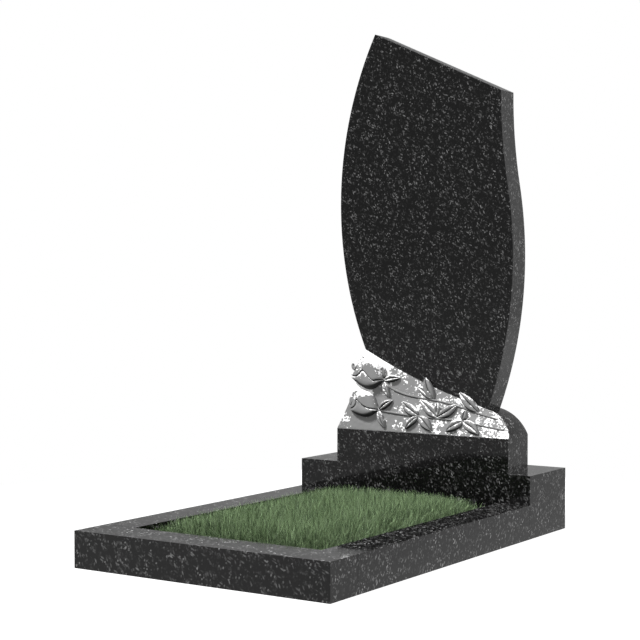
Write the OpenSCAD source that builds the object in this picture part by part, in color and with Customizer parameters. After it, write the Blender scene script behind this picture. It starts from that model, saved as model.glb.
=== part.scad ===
// Small grave memorial in polished black stone: a headstone with a carved foot on a
// plinth, and three kerbs around a grass bed. It stands on the ground by its own weight.
// Millimetres. +Z is up and the front faces -Y. The origin is at the middle of the
// footprint, on the ground.

/* [Plinth] */
// Width of the plinth, and of the whole memorial
plinth_w = 600; // [540:5:900]
// Depth of the plinth, front to back
plinth_d = 182; // [140:1:300]
// Height of the plinth
plinth_h = 138; // [100:1:200]

/* [Kerbs and bed] */
// Length of the kerbed bed in front of the plinth
bed_l = 790; // [500:5:1200]
// Height of the kerbs above the ground
kerb_h = 74; // [50:1:95]
// Width of the two side kerbs
side_kerb_w = 78; // [50:1:110]
// Width of the front kerb
front_kerb_w = 91; // [50:1:120]
// Small flat that breaks the polished edges of the plinth and kerbs
arris = 0.5; // [0.5:0.5:4]
// Rise of the turf above the kerbs at the middle of the bed
turf_rise = 16; // [0:1:40]
// Fall of the turf below the kerb tops at the bed's edges
turf_fall = 12; // [4:1:30]
// Clearance between the turf and the stones around it
turf_gap = 0.5; // [0.3:0.1:2]

/* [Headstone foot] */
// Width of the foot
foot_w = 446; // [400:1:480]
// Depth of the foot, front to back
foot_d = 97; // [80:1:130]
// Plinth top left bare on the left of the foot
bare_left = 100; // [0:1:110]
// Step of the foot behind the plinth's front face
foot_setback = 2; // [0:1:20]
// Height of the polished band along the foot
band_h = 77; // [50:1:110]
// Height of the foot's right side, where the rounded shoulder starts
shoulder_h = 80; // [60:1:110]
// Bulge of the shoulder's round
shoulder_bulge = 10.5; // [2:0.5:20]
// Hollow of the flare on the foot's left side
flare_hollow = 7.5; // [1:0.5:15]

/* [Headstone blade] */
// Thickness of the blade
blade_t = 61; // [45:1:70]
// Height of the tip above the plinth
tip_h = 995; // [800:5:1200]
// Height of the top right corner above the plinth
corner_h = 845; // [700:5:1000]
// Tip's distance in from the foot's left side
tip_in = 81; // [40:1:140]
// Top right corner's distance in from the foot's right side
corner_in = 38.5; // [10:0.5:80]
// Height at which the blade's left edge leaves the foot
waist_left_h = 260; // [200:1:320]
// Left edge's distance in from the foot's left side, at that height
waist_left_in = 57; // [30:1:90]
// Height at which the blade's right edge leaves the shoulder
waist_right_h = 136; // [110:1:180]
// Right edge's distance in from the foot's right side, at that height
waist_right_in = 69; // [40:1:100]
// Bulge of the left edge, a single round from waist to tip
left_bulge = 82; // [20:1:110]
// Height at which the right edge turns from a bulge to a hollow
turn_h = 637; // [500:1:700]
// Right edge's distance in from the foot's right side, at that turn
turn_in = 21.5; // [10:0.5:50]
// Bulge of the right edge below the turn
right_bulge = 33; // [10:1:50]
// Hollow of the right edge above the turn
right_hollow = 4.5; // [0:0.5:12]

/* [Carving] */
// Sag of the carved panel's upper border
border_sag = 9.5; // [2:0.5:20]
// Radius of a rose stem
stem_r = 3.4; // [2:0.2:5]
// How far the leaves stand proud of the panel
leaf_rise = 4.5; // [2:0.5:8]
// Radius of the upper rose
upper_rose_r = 38; // [20:1:42]
// Length of the upper rose, from its calyx to its open end
upper_rose_l = 84; // [50:1:90]
// Radius of the lower rose
lower_rose_r = 32; // [20:1:40]
// Length of the lower rose, from its calyx to its open end
lower_rose_l = 80; // [50:1:90]
// How far the roses stand proud of the panel
rose_rise = 17; // [8:0.5:22]
// Full width of a large leaf
leaf_w = 20; // [10:0.5:26]
// Full width of a small leaf or sepal
sepal_w = 13; // [8:0.5:18]

/* [Hidden] */

$fn = 64;
black_stone = [0.13, 0.13, 0.14];
grass_green = [0.30, 0.42, 0.24];
sink = 5;        // depth to which the carving's solids run into the stone
waste_margin = 60; // reach of the cut-away solid past the foot and the blade
curve_steps = 16;
panel_steps = 24;
crown_facets = 360; // round of the turf's crown, a circle much wider than the bed
stem_sides = 6;
petal_sides = 16;
upper_rose_angle = 157; // turn of each rose's axis from the foot's length, on the panel
lower_rose_angle = 161;
petal_swing = 9;        // turn of the two outer petals away from the rose's axis
petal_shift = 0.11;     // their sideways step, as a share of the rose's radius
bud_swing = 4;          // turn of the inner petals, one each way

front_y = -(bed_l + plinth_d) / 2;
plinth_y = front_y + bed_l;
foot_x0 = -plinth_w / 2 + bare_left;
foot_x1 = foot_x0 + foot_w;
foot_y0 = plinth_y + foot_setback;
foot_y1 = foot_y0 + foot_d;
blade_y0 = foot_y1 - blade_t;

// Outline points of the headstone, as [x, height above the plinth].
waist_left = [foot_x0 + waist_left_in, waist_left_h];
waist_right = [foot_x1 - waist_right_in, waist_right_h];
tip = [foot_x0 + tip_in, tip_h];
corner = [foot_x1 - corner_in, corner_h];
turn = [foot_x1 - turn_in, turn_h];

// ---- curves ----

// Points of an arc from a to b that bulges to the left of the way it runs.
function arc_between(a, b, bulge, steps) =
    let (
        c = norm(b - a),
        r = c * c / (8 * abs(bulge)) + abs(bulge) / 2,
        half = asin(c / 2 / r),
        along = (b - a) / c,
        side = [-along[1], along[0]] * sign(bulge)
    )
    [for (i = [0:steps])
        let (t = half * (2 * i / steps - 1))
        (a + b) / 2 + along * r * sin(t) + side * (r * cos(t) - (r - abs(bulge)))];

// A smooth curve through the given points, with steps pieces between each two.
function through(p, steps) =
    [for (i = [0:len(p) - 2], k = [0:steps - (i < len(p) - 2 ? 1 : 0)])
        let (
            t = k / steps,
            a = p[max(i - 1, 0)],
            b = p[i],
            c = p[i + 1],
            d = p[min(i + 2, len(p) - 1)]
        )
        b + t * (c - a) / 2 + t * t * (a - 2.5 * b + 2 * c - d / 2)
            + t * t * t * (1.5 * b - a / 2 - 1.5 * c + d / 2)];

// Height of the carved panel's upper border at x: a sagging arc between the two waists.
border_c = norm(waist_right - waist_left);
border_r = border_c * border_c / (8 * border_sag) + border_sag / 2;
border_up = [waist_left[1] - waist_right[1], waist_right[0] - waist_left[0]] / border_c;
border_mid = (waist_left + waist_right) / 2 + border_up * (border_r - border_sag);
function border_h(x) = border_mid[1] - sqrt(border_r * border_r - pow(x - border_mid[0], 2));

// Depth of the panel's sloping face at x and height h, from the band's front edge back
// to the blade's face, and the point that lies there. Past the border it is the blade's face.
function panel_y(x, h) =
    foot_y0 + (blade_y0 - foot_y0) * min((h - band_h) / (border_h(x) - band_h), 1);
function on_panel(q) = [q[0], panel_y(q[0], q[1]), plinth_h + q[1]];

// A place on the panel from its shares: across the foot's width, and from the band up to
// the border, where more than 1 is on the blade's face. It gives [x, height].
function spot(share) =
    let (x = foot_x0 + share[0] * foot_w)
    [x, band_h + share[1] * (border_h(x) - band_h)];

// Slope of the panel at x, as a unit vector that points out of the stone.
function panel_out(x) =
    let (v = [0, -(border_h(x) - band_h), blade_y0 - foot_y0])
    v / norm(v);

// ---- solids ----

// A closed solid through a list of rings, each with the same number of points.
module skin(rings) {
    n = len(rings[0]);
    last = (len(rings) - 1) * n;
    sides = [for (i = [0:len(rings) - 2], k = [0:n - 1])
        let (a = i * n + k, b = i * n + (k + 1) % n)
        each [[a, a + n, b], [b, a + n, b + n]]];
    polyhedron(
        points = [for (ring = rings) each ring],
        faces = concat(sides, [[for (k = [0:n - 1]) k]], [[for (k = [n - 1:-1:0]) last + k]])
    );
}

// A block with every edge broken by the arris.
module stone_block(size) {
    w = size[0];
    d = size[1];
    h = size[2];
    intersection() {
        linear_extrude(h) broken_rectangle(w, d);
        translate([0, d, 0]) rotate([90, 0, 0]) linear_extrude(d) broken_rectangle(w, h);
        rotate([90, 0, 90]) linear_extrude(w) broken_rectangle(d, h);
    }
}

module broken_rectangle(w, d) {
    a = arris;
    polygon([[a, 0], [w - a, 0], [w, a], [w, d - a], [w - a, d], [a, d], [0, d - a], [0, a]]);
}

// ---- headstone ----

module headstone_outline() {
    flare = arc_between([foot_x0, band_h], waist_left, -flare_hollow, curve_steps / 2);
    left = arc_between(waist_left, tip, left_bulge, curve_steps * 2);
    upper = arc_between(corner, turn, -right_hollow, curve_steps / 2);
    lower = arc_between(turn, waist_right, right_bulge, curve_steps * 2);
    shoulder = arc_between(waist_right, [foot_x1, shoulder_h], shoulder_bulge, curve_steps * 2);
    polygon(concat(
        [[foot_x1, 0], [foot_x0, 0]],
        flare,
        [for (i = [1:len(left) - 1]) left[i]],
        upper,
        [for (i = [1:len(lower) - 1]) lower[i]],
        [for (i = [1:len(shoulder) - 1]) shoulder[i]]
    ));
}

// What is cut away in front of the carved panel and the blade.
module front_waste() {
    y = foot_y0 - waste_margin;
    z = plinth_h + tip_h + waste_margin;
    z0 = plinth_h + band_h;
    x0 = foot_x0 - waste_margin;
    run = foot_w + 2 * waste_margin;
    skin([for (i = [0:panel_steps])
        let (x = x0 + run * i / panel_steps)
        [
            [x, y, z0],
            [x, foot_y0, z0],
            [x, blade_y0, plinth_h + border_h(x)],
            [x, blade_y0, z],
            [x, y, z]
        ]]);
}

// A pointed leaf with two swelling halves and a groove between them, from base to point,
// both as shares of the panel.
module leaf(base, point, width) {
    a = on_panel(spot(base));
    b = on_panel(spot(point)) + [0, -1, 0];
    out = panel_out(a[0]);
    side = cross(out, b - a) / norm(cross(out, b - a));
    skin([for (s = [0.02, 0.12, 0.28, 0.46, 0.64, 0.82, 0.98])
        let (
            half = width / 2 * pow(sin(180 * pow(s, 0.85)), 0.8),
            up = leaf_rise * pow(sin(180 * s), 0.45),
            p = a + (b - a) * s
        )
        [
            p + side * half * 0.8 - out * sink,
            p + side * half,
            p + side * half * 0.55 + out * up,
            p + out * up * 0.35,
            p - side * half * 0.55 + out * up,
            p - side * half,
            p - side * half * 0.8 - out * sink
        ]]);
}

// A round stem that lies half sunk along a smooth curve through points on the panel.
module stem(points) {
    path = [for (q = through([for (p = points) spot(p)], 3))
        on_panel(q) + panel_out(q[0]) * stem_r * 0.4];
    last = len(path) - 1;
    skin([for (i = [0:last])
        let (
            way = path[min(i + 1, last)] - path[max(i - 1, 0)],
            out = panel_out(path[i][0]),
            side = cross(out, way) / norm(cross(out, way))
        )
        [for (k = [0:stem_sides - 1])
            let (turned = 360 * k / stem_sides)
            path[i] + stem_r * (side * cos(turned) + out * sin(turned))]]);
}

// A ring of petals: a flattened body turned about the rose's axis, from a profile of
// [distance along the axis, radius]. The axis starts at the calyx and runs at an angle to
// the foot's length, and shift moves the body sideways on the panel.
module petals(calyx, angle, profile, flat, shift = 0) {
    a = on_panel(spot(calyx));
    out = panel_out(a[0]);
    slope = cross(out, [1, 0, 0]);
    axis = [cos(angle), 0, 0] + slope * sin(angle);
    side = cross(out, axis);
    skin([for (p = profile)
        [for (k = [0:petal_sides - 1])
            let (
                turned = 360 * k / petal_sides,
                round = side * cos(turned) + out * flat * sin(turned)
            )
            a + side * shift + axis * p[0] + round * p[1]]]);
}

// A rose seen from its side: two outer petals that close on the calyx, and two rings of
// inner petals in its open end. Profiles are shares of the rose's length and radius.
module rose(calyx, angle, l, r) {
    outer = [[0, 0.14], [0.08, 0.42], [0.22, 0.72], [0.42, 0.9],
        [0.62, 0.9], [0.82, 0.74], [0.94, 0.5]];
    cup = [[0.5, 0.4], [0.62, 0.62], [0.86, 0.66], [1, 0.58],
        [0.98, 0.5], [0.82, 0.42], [0.78, 0.1]];
    function sized(profile, k, step = 0) = [for (p = profile) [(p[0] + step) * l, p[1] * r * k]];
    flat = rose_rise / r;
    petals(calyx, angle + petal_swing, sized(outer, 0.82), flat, -petal_shift * r);
    petals(calyx, angle - petal_swing, sized(outer, 0.86), flat, petal_shift * r);
    petals(calyx, angle + bud_swing, sized(cup, 1.1), flat);
    petals(calyx, angle - bud_swing, sized(cup, 0.66, 0.05), flat);
}

module headstone() {
    color(black_stone) {
        difference() {
            translate([0, foot_y1, plinth_h])
                rotate([90, 0, 0])
                    linear_extrude(foot_d) headstone_outline();
            front_waste();
        }
        carving();
    }
}

// Two roses on long stems that run to the right across the sloping panel, with sepals
// around each calyx and leaves in pairs along the stems. Places are shares of the panel.
module carving() {
    upper_calyx = [0.253, 0.75];
    lower_calyx = [0.242, 0.3];
    upper_stem = [upper_calyx, [0.287, 0.69], [0.37, 0.66], [0.46, 0.69], [0.57, 0.76],
        [0.68, 0.8], [0.79, 0.78], [0.91, 0.76]];
    lower_stem = [lower_calyx, [0.29, 0.3], [0.43, 0.32], [0.585, 0.37], [0.73, 0.42],
        [0.83, 0.41], [0.96, 0.37]];
    sepals = [
        [[0.255, 0.74], [0.345, 0.89]],
        [[0.253, 0.72], [0.3, 0.52]],
        [[0.253, 0.77], [0.238, 0.95]],
        [[0.244, 0.3], [0.32, 0.5]],
        [[0.242, 0.29], [0.294, 0.05]]
    ];
    small_leaves = [
        [[0.543, 0.75], [0.446, 0.88]],
        [[0.478, 0.33], [0.413, 0.05]],
        [[0.585, 0.39], [0.574, 0.72]],
        [[0.731, 0.44], [0.735, 0.75]]
    ];
    large_leaves = [
        [[0.547, 0.75], [0.49, 1.13]],
        [[0.803, 0.81], [0.686, 1.18]],
        [[0.48, 0.34], [0.372, 0.52]],
        [[0.48, 0.33], [0.565, 0.07]],
        [[0.59, 0.38], [0.478, 0.66]],
        [[0.587, 0.39], [0.684, 0.83]],
        [[0.731, 0.42], [0.65, 0.08]],
        [[0.731, 0.42], [0.836, 0.08]]
    ];
    rose(upper_calyx, upper_rose_angle, upper_rose_l, upper_rose_r);
    rose(lower_calyx, lower_rose_angle, lower_rose_l, lower_rose_r);
    stem(upper_stem);
    stem(lower_stem);
    for (l = sepals) leaf(l[0], l[1], sepal_w);
    for (l = small_leaves) leaf(l[0], l[1], sepal_w);
    for (l = large_leaves) leaf(l[0], l[1], leaf_w);
}

// ---- plinth, kerbs and turf ----

module plinth() {
    color(black_stone)
        translate([-plinth_w / 2, plinth_y, 0])
            stone_block([plinth_w, plinth_d, plinth_h]);
}

side_kerb_l = bed_l - front_kerb_w;

module kerb_left() {
    color(black_stone)
        translate([-plinth_w / 2, front_y + front_kerb_w, 0])
            stone_block([side_kerb_w, side_kerb_l, kerb_h]);
}

module kerb_right() {
    color(black_stone)
        translate([plinth_w / 2 - side_kerb_w, front_y + front_kerb_w, 0])
            stone_block([side_kerb_w, side_kerb_l, kerb_h]);
}

module kerb_front() {
    color(black_stone)
        translate([-plinth_w / 2, front_y, 0])
            stone_block([plinth_w, front_kerb_w, kerb_h]);
}

// Soil and grass that fill the bed, with a top that swells towards the middle.
module turf() {
    w = plinth_w - 2 * (side_kerb_w + turf_gap);
    l = side_kerb_l - 2 * turf_gap;
    crown = turf_rise + turf_fall;
    r = w * w / (8 * crown) + crown / 2;
    color(grass_green)
        translate([0, front_y + front_kerb_w + turf_gap, 0])
            intersection() {
                translate([-w / 2, 0, 0]) cube([w, l, kerb_h + turf_rise + 1]);
                translate([0, -1, kerb_h + turf_rise - r])
                    rotate([-90, 0, 0]) cylinder(h = l + 2, r = r, $fn = crown_facets);
            }
}

headstone();
plinth();
kerb_left();
kerb_right();
kerb_front();
turf();
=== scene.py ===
"""Looks of a black granite grave memorial: polished stones, a panel carved with two roses, and grass.

Metres, +Z up, the front faces -Y, with the origin on the ground at the middle of the footprint. The
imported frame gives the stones' places. Each group of pieces has its own operator, and main() calls them
in order.
"""
from math import cos, exp, pi, radians, sin, sqrt

import bmesh
import bpy
import numpy as np
from bpy.props import FloatProperty, FloatVectorProperty, IntProperty, PointerProperty
from mathutils import Euler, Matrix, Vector, noise


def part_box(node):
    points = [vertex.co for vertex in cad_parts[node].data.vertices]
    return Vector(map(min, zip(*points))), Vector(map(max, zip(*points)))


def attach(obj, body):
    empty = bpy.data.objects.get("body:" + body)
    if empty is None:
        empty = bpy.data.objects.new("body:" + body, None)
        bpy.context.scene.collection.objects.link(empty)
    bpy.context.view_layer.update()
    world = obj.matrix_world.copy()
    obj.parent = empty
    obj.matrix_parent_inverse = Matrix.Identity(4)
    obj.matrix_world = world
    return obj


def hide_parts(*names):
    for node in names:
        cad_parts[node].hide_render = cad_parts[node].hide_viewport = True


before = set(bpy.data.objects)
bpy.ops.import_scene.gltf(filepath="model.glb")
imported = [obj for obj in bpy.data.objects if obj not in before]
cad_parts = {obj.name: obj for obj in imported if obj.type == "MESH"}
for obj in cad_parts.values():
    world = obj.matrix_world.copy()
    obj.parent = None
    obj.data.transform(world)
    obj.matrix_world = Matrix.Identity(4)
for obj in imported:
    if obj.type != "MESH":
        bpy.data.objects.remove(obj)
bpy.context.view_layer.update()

bl_info = {
    "name": "Rose Grave Memorial",
    "version": (1, 0, 0),
    "blender": (4, 5, 0),
    "location": "View3D > Sidebar > Memorial",
    "description": "Polished stones, carved roses and grass for a packed grave memorial",
    "category": "Object",
}

MM = 0.001


# ---- sizes and colours that a user would change ----

def length(name, description, millimetres):
    return FloatProperty(
        name=name, description=description, default=millimetres * MM, unit="LENGTH", precision=4)


def share(name, description, default):
    return FloatProperty(
        name=name, description=description, default=default, min=0.0, max=1.0, subtype="FACTOR")


def colour(name, description, hex_value):
    return FloatVectorProperty(
        name=name, description=description, default=linear(hex_value), size=4, min=0.0, max=1.0,
        subtype="COLOR")


def linear(hex_value):
    """An sRGB colour such as "#808080" as linear red, green, blue and alpha."""
    parts = [int(hex_value[i:i + 2], 16) / 255 for i in (1, 3, 5)]
    return [p / 12.92 if p <= 0.04045 else ((p + 0.055) / 1.055) ** 2.4 for p in parts] + [1.0]


class HeadstoneSizes(bpy.types.PropertyGroup):
    """Sizes of the headstone's foot and of the sloping panel, as its construction has them."""
    foot_depth: length("Foot depth", "Depth of the foot, front to back", 97)
    blade_thickness: length("Blade thickness", "Thickness of the upright slab", 61)
    band_height: length("Band height", "Height of the polished band along the foot", 77)
    left_height: length("Left waist height", "Height at which the slab's left edge leaves the foot", 260)
    left_in: length("Left waist inset", "Left edge's distance in from the foot's side there", 57)
    right_height: length("Right waist height", "Height at which the right edge leaves the shoulder", 136)
    right_in: length("Right waist inset", "Right edge's distance in from the foot's side there", 69)
    border_sag: length("Border sag", "Sag of the panel's upper border", 9.5)
    arris: length("Arris", "Width of the polished bevel along the slab's edges", 0.6)


class CarvingSizes(bpy.types.PropertyGroup):
    """Sizes of the relief on the panel."""
    leaf_width: length("Leaf width", "Full width of a large leaf", 24)
    small_leaf_width: length("Small leaf width", "Full width of a small leaf or sepal", 17)
    leaf_rise: length("Leaf rise", "How far a leaf stands proud of the panel", 9)
    stem_radius: length("Stem radius", "Radius of a rose stem", 2.8)
    face_relief: length("Face relief", "Depth of the tool marks on the panel's background", 0.5)


class StoneColours(bpy.types.PropertyGroup):
    """Colours of the black granite, polished and hand cut."""
    ground: colour("Ground", "Dark minerals between the flecks", "#0d0d0d")
    fleck: colour("Fleck", "Grey feldspar flecks", "#b0b0b0")
    # Painted shade: flecks on front and back faces are painted dimmer than on the sides and tops, for how
    # the light falls on them.
    front_fleck_shade: share("Front flecks", "Brightness of the flecks on front and back faces", 0.43)
    cut: colour("Cut stone", "Matt stone of the carved panel", "#787878")
    # Painted shade: faces that look down are painted this near-black, for their shadow as well as for the
    # dark uncrushed stone in the undercuts.
    shaded_undercut: colour("Undercut stone", "Dark uncrushed stone on faces that look down", "#1e1e1e")
    # Bright colour of the carving: partly bruising, partly painted highlight where faces look up and where
    # the panel is brightest.
    bruised_and_lit: colour("Bruised stone", "Bright bruised patches of the carved panel", "#fafafa")
    polish: share("Polish roughness", "Roughness of the mirror polish", 0.045)


class GrassSizes(bpy.types.PropertyGroup):
    """Size, number and colours of the grass."""
    height: length("Blade height", "Height of a grass blade from its root, just under the soil", 46)
    width: length("Blade width", "Width of a grass blade at its base", 2.2)
    count: IntProperty(
        name="Blades per patch", description="Grass blades in each patch", default=11000, min=100)
    patches: IntProperty(
        name="Patches", description="Number of grass patches along the bed", default=4, min=1)
    root: colour("Root", "Shaded foot of the blades", "#161f12")
    dull: colour("Dull blade", "Colour of the dullest blades", "#2c4720")
    fresh: colour("Fresh blade", "Colour of the freshest blades", "#badaa0")
    soil: colour("Soil", "Lightest crumbs of the soil between the blades", "#1c1a12")
    wet_soil: colour("Wet soil", "Darkest crumbs of the soil", "#0d0a07")


class StudioSettings(bpy.types.PropertyGroup):
    """Camera, floor and light."""
    lens: FloatProperty(
        name="Lens", description="Focal length on a 36 mm sensor", default=86.38, unit="CAMERA")
    azimuth: FloatProperty(
        name="Azimuth", description="How far round to the right the camera stands",
        default=radians(33.67), unit="ROTATION")
    pitch: FloatProperty(
        name="Pitch", description="Camera's tilt below the horizon", default=radians(1.62), unit="ROTATION")
    place: FloatVectorProperty(
        name="Camera place", description="Where the camera stands",
        default=(1.7615, -2.7118, 0.5711), subtype="XYZ_LENGTH")
    floor: colour("Floor", "Colour of the floor", "#707070")
    floor_glow: share("Floor glow", "Light that the lit floor gives off", 1.0)
    key_power: FloatProperty(name="Key power", description="Power of the key light", default=5.0)
    key_way: FloatVectorProperty(
        name="Key direction", description="Direction in which the key light lies",
        default=(-0.45, -0.36, 0.82))
    floor_radius: length("Floor radius", "Radius of the lit floor", 1300)
    overhead: FloatProperty(
        name="Overhead", description="Brightness of the soft light from above", default=0.35)
    underfoot: FloatProperty(
        name="Underfoot", description="Brightness of the soft light from below", default=0.12)
    sky_power: FloatProperty(
        name="Sky strength", description="Strength of the soft light from all round", default=1.0)


# ---- modelling ----

# Points closer than this are one point, and points this close to the back lie in it.
SAME_POINT = 0.01 * MM
FLATNESS = 0.1 * MM


def sheet(bm, columns, rows, place):
    """Adds a grid to bm and moves each of its points to place(u, v), where u and v run from 0 to 1."""
    made = bmesh.ops.create_grid(bm, x_segments=columns, y_segments=rows, size=0.5)
    for v in made["verts"]:
        v.co = place(v.co.x + 0.5, v.co.y + 0.5)
    return made["verts"]


def piece_from(name, bm, *materials, smooth=radians(30)):
    """A new piece from a bmesh, shaded smooth where its faces meet at less than an angle."""
    mesh = bpy.data.meshes.new(name)
    bm.to_mesh(mesh)
    bm.free()
    for material in materials:
        mesh.materials.append(material)
    piece = bpy.data.objects.new(name, mesh)
    bpy.context.scene.collection.objects.link(piece)
    if smooth:
        mesh.shade_smooth()
        mesh.set_sharp_from_angle(angle=smooth)
    return piece


def settle(piece):
    """Makes what a piece's modifiers show its plain mesh."""
    shown = piece.evaluated_get(bpy.context.evaluated_depsgraph_get())
    mesh = bpy.data.meshes.new_from_object(shown)
    piece.modifiers.clear()
    piece.data = mesh


def combine(piece, tool, operation):
    """Cuts tool out of piece, or keeps only what the two share, and removes the tool."""
    cut = piece.modifiers.new("cut", "BOOLEAN")
    cut.object = tool
    cut.operation = operation
    cut.solver = "EXACT"
    settle(piece)
    bpy.data.objects.remove(tool)


class Panel:
    """Places on the headstone's front: the band, the sloping panel and the slab's face above it."""

    def __init__(self, sizes):
        self.sizes = sizes
        low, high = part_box("headstone")
        back = [v.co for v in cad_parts["headstone"].data.vertices if v.co.y > high.y - MM]
        foot = [co.x for co in back if co.z < low.z + MM]
        self.x0, self.x1 = min(foot), max(foot)
        self.base = low.z
        self.back = high.y
        self.foot_y = self.back - sizes.foot_depth
        self.blade_y = self.back - sizes.blade_thickness
        self.band_z = self.base + sizes.band_height
        self.left = Vector((self.x0 + sizes.left_in, self.base + sizes.left_height))
        self.right = Vector((self.x1 - sizes.right_in, self.base + sizes.right_height))
        chord = (self.right - self.left).length
        self.radius = chord * chord / (8 * sizes.border_sag) + sizes.border_sag / 2
        up = Vector((self.left.y - self.right.y, self.right.x - self.left.x)) / chord
        self.centre = (self.left + self.right) / 2 + up * (self.radius - sizes.border_sag)

    def border_z(self, x):
        """Height of the panel's upper border, a sagging arc between the two waists."""
        return self.centre.y - sqrt(self.radius ** 2 - (x - self.centre.x) ** 2)

    def point(self, x, z, proud=0.0):
        """The panel's face at x and z. Above the border it is the slab's face."""
        slope = min((z - self.band_z) / (self.border_z(x) - self.band_z), 1.0)
        face = Vector((x, self.foot_y + (self.blade_y - self.foot_y) * slope, z))
        return face + self.out(x) * proud

    def spot(self, across, up, proud=0.0):
        """A place from its shares: across the foot's width, and from the band up to the border."""
        x = self.x0 + across * (self.x1 - self.x0)
        return self.point(x, self.band_z + up * (self.border_z(x) - self.band_z), proud)

    def out(self, x):
        """The panel's slope at x, as a direction out of the stone."""
        return Vector((0, self.band_z - self.border_z(x), self.blade_y - self.foot_y)).normalized()


def outline_slab(name, depth, inset=0.0):
    """The headstone's outline, taken from its back face, as a slab of that depth."""
    bm = bmesh.new()
    bm.from_mesh(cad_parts["headstone"].data)
    bmesh.ops.remove_doubles(bm, verts=bm.verts, dist=SAME_POINT)
    back = max(v.co.y for v in bm.verts)
    others = [f for f in bm.faces if min(v.co.y for v in f.verts) < back - FLATNESS]
    bmesh.ops.delete(bm, geom=others, context="FACES")
    bmesh.ops.dissolve_faces(bm, faces=bm.faces[:])
    if inset:
        rim = bmesh.ops.inset_region(bm, faces=bm.faces[:], thickness=inset)
        bmesh.ops.delete(bm, geom=rim["faces"], context="FACES")
    made = bmesh.ops.extrude_face_region(bm, geom=bm.faces[:])
    moved = [v for v in made["geom"] if isinstance(v, bmesh.types.BMVert)]
    bmesh.ops.translate(bm, verts=moved, vec=(0, -depth, 0))
    bmesh.ops.recalc_face_normals(bm, faces=bm.faces[:])
    return piece_from(name, bm, smooth=None)


def front_waste(panel):
    """What is cut away in front of the carved panel and the slab's face."""
    margin = 60 * MM
    steps = 160
    corners = 5
    front = panel.foot_y - margin
    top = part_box("headstone")[1].z + margin
    width = panel.x1 - panel.x0 + 2 * margin

    def place(u, v):
        x = panel.x0 - margin + u * width
        ring = [
            (x, front, panel.band_z),
            (x, panel.foot_y, panel.band_z),
            (x, panel.blade_y, panel.border_z(x)),
            (x, panel.blade_y, top),
            (x, front, top),
        ]
        return ring[round(v * corners) % corners]

    bm = bmesh.new()
    sheet(bm, steps, corners, place)
    bmesh.ops.remove_doubles(bm, verts=bm.verts, dist=SAME_POINT)
    bmesh.ops.holes_fill(bm, edges=bm.edges, sides=corners)
    bmesh.ops.recalc_face_normals(bm, faces=bm.faces[:])
    return piece_from("front_waste", bm, smooth=None)


# ---- materials ----

# How each family of feldspar laths is turned about X, Y and Z, in degrees, and how long a lath is for
# its width.
LATH_TURNS = [(0, 25, 10), (35, -50, 70), (80, 15, 130), (-40, 65, -25)]
LATH_STRETCH = (3.2, 1.0, 1.0)

# Ranges over which a noise or a distance turns from none of a pattern to all of it, and how much it shows.
CLOUD_RANGE = (0.34, 0.66)
CLOUD_THINNEST = 0.1
HAZE_RANGE = (0.54, 0.76)
HAZE_MOST = 0.3
LATH_RANGE = (0.36, 0.16)
LATH_TINT_RANGE = (0.45, 1.0)
# Bright colour, partly bruising and partly painted highlight:
BRUISE_AND_HIGHLIGHT_RANGE = (0.668, 0.695)
# Painted shade on faces that look down, over the dark uncrushed stone there:
DOWN_SHADE_RANGE = (-0.12, -0.52)
BLADE_SHADE_RANGE = (0.35, 1.0)

# How much of the bright marking is fine specks, and how much more of it the faces that look up get, as a
# painted highlight.
BRIGHT_SPECK_SHARE = 0.45
UPWARD_HIGHLIGHT = 0.3

# Sizes of the stone's and the soil's patterns in millimetres. The bright patches and specks, partly bruises
# and pecks and partly painted highlight, are drawn as coarse as they are cut. The grit, crushed crystals
# much finer than this, is drawn as coarse as it needs to show.
CLOUD_SIZE = 22.0
MOTTLE_SIZE = 6.5
LATH_SIZE = 4.6
BRIGHT_PATCH_SIZE = 26.0
BRIGHT_SPECK_SIZE = 5.0
GRIT_SIZE = 1.6
CRUMB_SIZE = 7.0

# The polish is a little rougher on the flecks. Its IOR is below the usual 1.5 of the stone's minerals, so
# that the reflections are as weak as they look on the real stone.
FLECK_ROUGHER = 0.05
POLISH_IOR = 1.33


def new_material(name):
    """A node material with its tree and its shader."""
    material = bpy.data.materials.new(name)
    material.use_nodes = True
    tree = material.node_tree
    return material, tree, tree.nodes["Principled BSDF"]


def add(tree, kind, settings=None, links=None):
    """Adds a node with its settings. links holds, for each input, a value or another node's output."""
    node = tree.nodes.new(kind)
    for key, value in (settings or {}).items():
        setattr(node, key, value)
    for key, value in (links or {}).items():
        if isinstance(value, bpy.types.NodeSocket):
            tree.links.new(value, node.inputs[key])
        else:
            node.inputs[key].default_value = value
    return node


def per_mm(size):
    """A pattern's scale, from the size of one of its features in millimetres."""
    return 1 / (size * MM)


def between(ends):
    """The inputs that make a map range run between two ends."""
    return {"From Min": ends[0], "From Max": ends[1]}


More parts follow.
